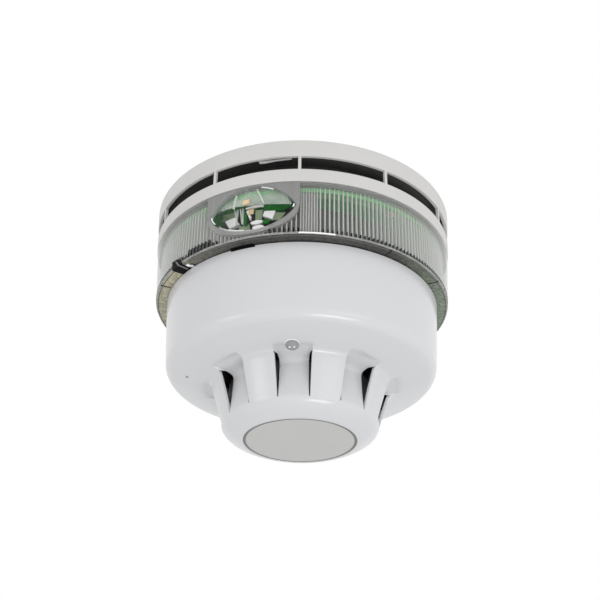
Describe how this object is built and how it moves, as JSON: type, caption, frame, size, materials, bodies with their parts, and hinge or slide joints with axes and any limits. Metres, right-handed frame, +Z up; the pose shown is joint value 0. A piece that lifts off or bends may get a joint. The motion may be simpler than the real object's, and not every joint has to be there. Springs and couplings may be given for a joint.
{
  "type": "ceiling heat detector with sounder beacon base",
  "caption": "Round ceiling heat detector head with a fluted nose, bayonet-fitted under a clear ribbed beacon ring and a slotted sounder housing.",
  "frame": {"origin": "centre of the flat face that meets the ceiling", "axes": "+Z up into the ceiling, -Y the side with the indicator light, +X to that side's right as seen from the front"},
  "size_m": [0.1126, 0.1126, 0.09],
  "materials": {
    "housing_plastic": "fine satin moulded",
    "head_plastic": "semi-gloss moulded",
    "face_disc": "satin moulded",
    "inner_plastic": "satin moulded",
    "dark_plastic": "matt moulded",
    "clear_lens": "polished clear",
    "board": "solder resist",
    "phosphor": "phosphor over white package",
    "reflector": "bright white",
    "steel": "plated",
    "brass": "spring strip",
    "ceramic": "fired",
    "black_plastic": "matt moulded",
    "red_plastic": "matt moulded",
    "bead": "glazed bead",
    "translucent": "frosted translucent"
  },
  "bodies": {
    "base": {"ceiling_plate": "inner_plastic", "detector_socket": "inner_plastic", "sounder_housing": "housing_plastic", "sound_chamber": "dark_plastic", "piezo_carrier": "dark_plastic", "driver_inductor": "dark_plastic", "piezo_disc": "brass", "terminal_clip_1": "brass", "terminal_clip_2": "brass", "terminal_clip_3": "brass", "terminal_clip_4": "brass", "piezo_ceramic": "ceramic", "beacon_board": "board", "beacon_reflector": "reflector", "beacon_dome": "clear_lens", "lens_ring": "clear_lens", "address_switch": "red_plastic", "beacon_led_1": "phosphor", "beacon_led_2": "phosphor", "beacon_led_3": "phosphor", "beacon_led_4": "phosphor", "beacon_led_5": "phosphor", "beacon_led_6": "phosphor", "flash_capacitor": "black_plastic", "terminal_screw_1": "steel", "terminal_screw_2": "steel", "terminal_screw_3": "steel", "terminal_screw_4": "steel", "socket_screw_1": "steel", "socket_screw_2": "steel", "socket_screw_3": "steel"},
    "head": {"head_cover": "head_plastic", "face_disc": "face_disc", "head_chassis": "inner_plastic", "head_board": "board", "heat_baffle": "dark_plastic", "thermistor_post": "inner_plastic", "thermistor_bead": "bead", "thermistor_lead_1": "steel", "thermistor_lead_2": "steel", "sensing_chip": "black_plastic", "indicator_led": "ceramic", "indicator_lens": "translucent", "board_screw_1": "steel", "board_screw_2": "steel", "board_screw_3": "steel", "contact_pad_1": "brass", "contact_pad_2": "brass", "contact_pad_3": "brass", "contact_pad_4": "brass"},
    "lock": {"lock_screw": "steel"},
    "latch": {"release_latch": "black_plastic", "latch_pin": "inner_plastic"},
    "slider_1": {"address_slider_1": "inner_plastic"},
    "slider_2": {"address_slider_2": "inner_plastic"},
    "slider_3": {"address_slider_3": "inner_plastic"},
    "slider_4": {"address_slider_4": "inner_plastic"}
  },
  "joints": [
    {"name": "head_twist", "type": "hinge", "parent": "base", "child": "head", "pos_m": [0, 0, 0], "axis": [0, 0, 1], "range_deg": [-20, 0]},
    {"name": "lock_screw_turn", "type": "hinge", "parent": "head", "child": "lock", "pos_m": [-0.04069, -0.005, -0.0405], "axis": [0, 0, 1], "range_deg": [0, 1080]},
    {"name": "release_latch_press", "type": "slide", "parent": "base", "child": "latch", "axis": [0.8049, 0.5934, 0], "range_m": [0, 0.0012], "stiffness_N_per_m": 400},
    {"name": "address_slide_1", "type": "slide", "parent": "base", "child": "slider_1", "axis": [0, 1, 0], "range_m": [0, 0.0018]},
    {"name": "address_slide_2", "type": "slide", "parent": "base", "child": "slider_2", "axis": [0, 1, 0], "range_m": [0, 0.0018]},
    {"name": "address_slide_3", "type": "slide", "parent": "base", "child": "slider_3", "axis": [0, 1, 0], "range_m": [0, 0.0018]},
    {"name": "address_slide_4", "type": "slide", "parent": "base", "child": "slider_4", "axis": [0, 1, 0], "range_m": [0, 0.0018]}
  ]
}
